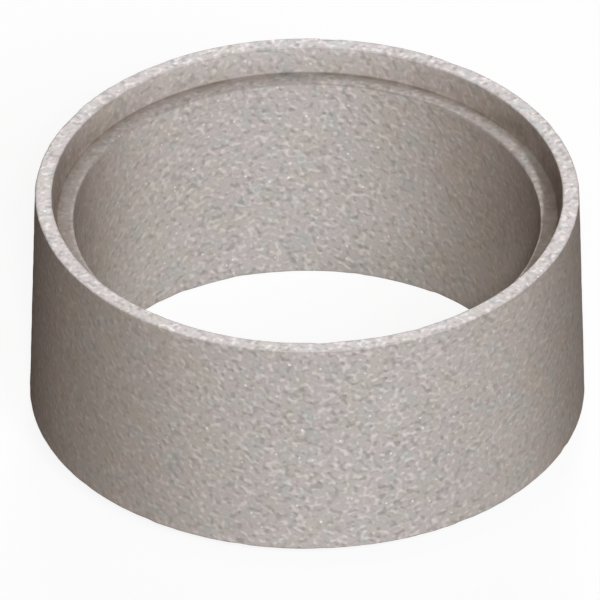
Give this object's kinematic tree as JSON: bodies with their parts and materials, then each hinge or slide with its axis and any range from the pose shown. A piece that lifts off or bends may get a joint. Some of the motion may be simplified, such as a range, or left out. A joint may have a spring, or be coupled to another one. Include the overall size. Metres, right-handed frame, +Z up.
{
  "type": "concrete riser ring",
  "caption": "Round precast concrete riser ring with a tapered socket and ledge inside its rim and a tongue under its foot, stacked to raise an access shaft.",
  "frame": {"origin": "centre of the ring at the tongue's tip, the face it stands on", "axes": "+Z up along the ring's axis, from the tongue to the rim; X and Y are any two directions across the round ring"},
  "size_m": [0.7097, 0.7098, 0.3265],
  "materials": {
    "concrete": "matt cast concrete, finely pitted"
  },
  "bodies": {
    "root": {"riser_ring": "concrete"}
  },
  "joints": []
}
